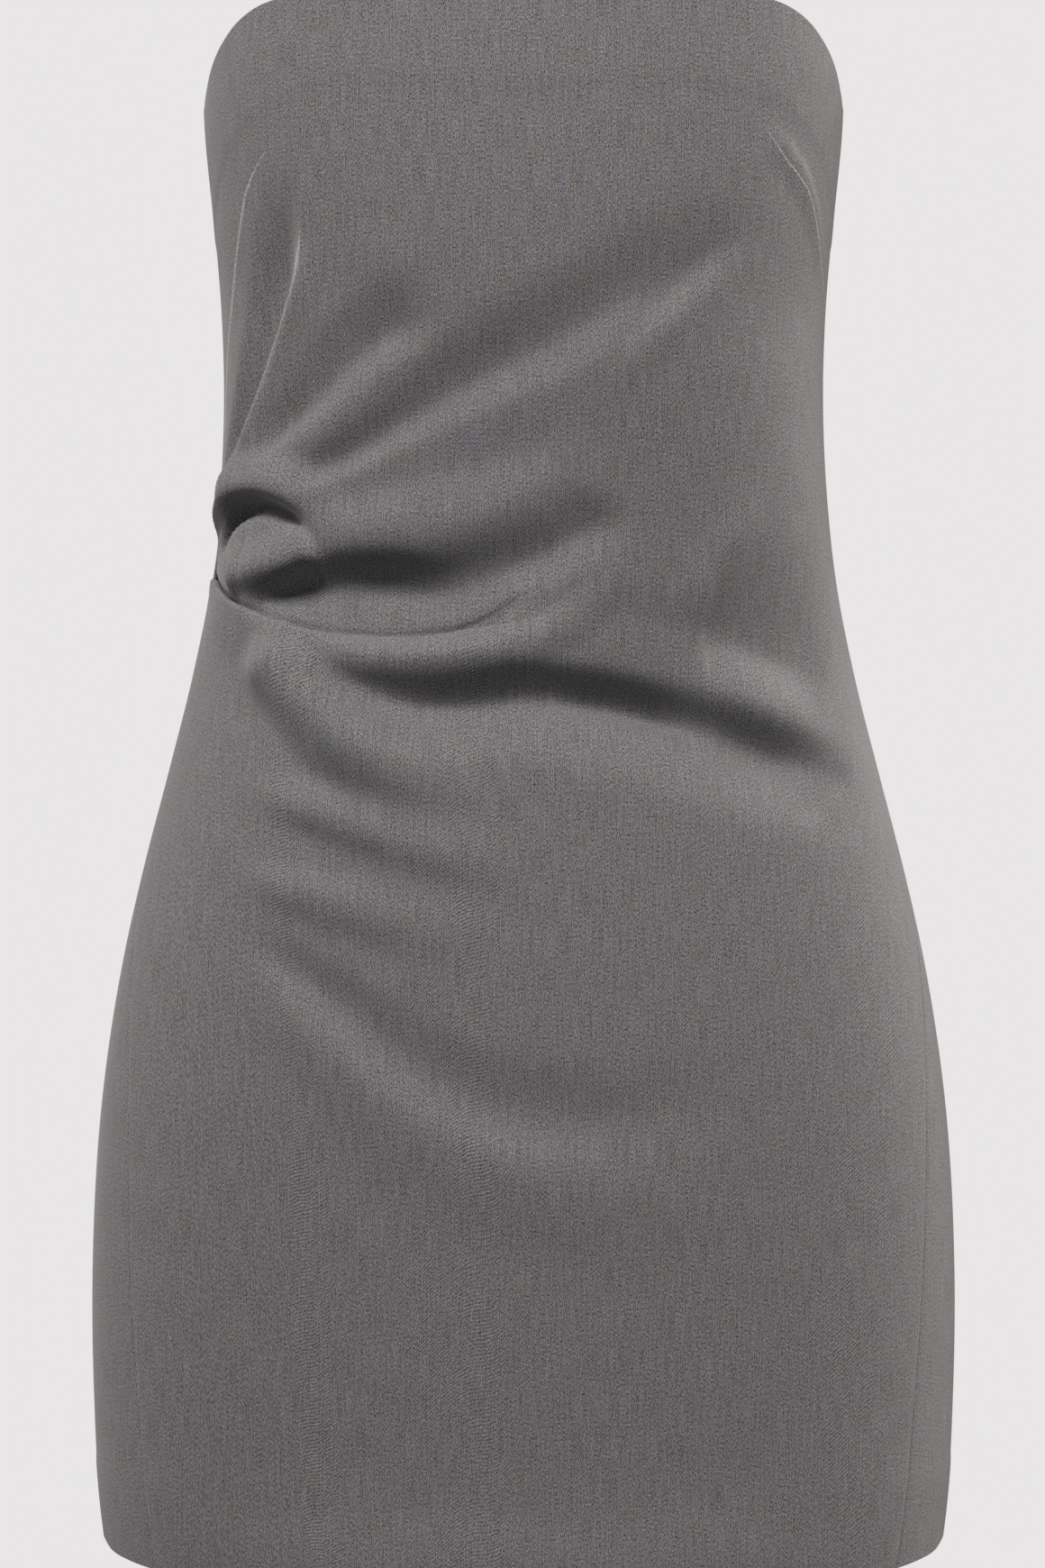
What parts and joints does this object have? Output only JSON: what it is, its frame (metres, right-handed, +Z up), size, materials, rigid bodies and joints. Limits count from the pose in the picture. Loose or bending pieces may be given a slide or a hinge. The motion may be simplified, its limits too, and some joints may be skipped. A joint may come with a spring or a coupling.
{
  "type": "strapless mini dress",
  "caption": "Strapless fitted mini dress in grey suiting, with a deep tuck and pleats drawn into one side seam, in its hollow worn form with a concealed back zip.",
  "frame": {"origin": "on the wearer's middle axis, level with the chest band that holds the dress up at the underarms", "axes": "+Z up along the body, -Y towards the front, +X towards the wearer's left"},
  "size_m": [0.382, 0.2398, 0.6926],
  "materials": {
    "grey_suiting": "soft twill suiting, matt with a faint sheen",
    "zip_tape_cloth": "woven tape, matt",
    "painted_metal": "satin paint"
  },
  "bodies": {
    "dress": {"front": "grey_suiting", "back_left": "grey_suiting", "back_right": "grey_suiting", "zip_tape": "zip_tape_cloth", "zip_slider": "painted_metal"},
    "pull_tab": {"zip_pull": "painted_metal"}
  },
  "joints": [
    {"name": "pull_tab_swing", "type": "hinge", "parent": "dress", "child": "pull_tab", "pos_m": [0, 0.08908, -0.024], "axis": [1, 0, 0], "range_deg": [0, 150]}
  ]
}
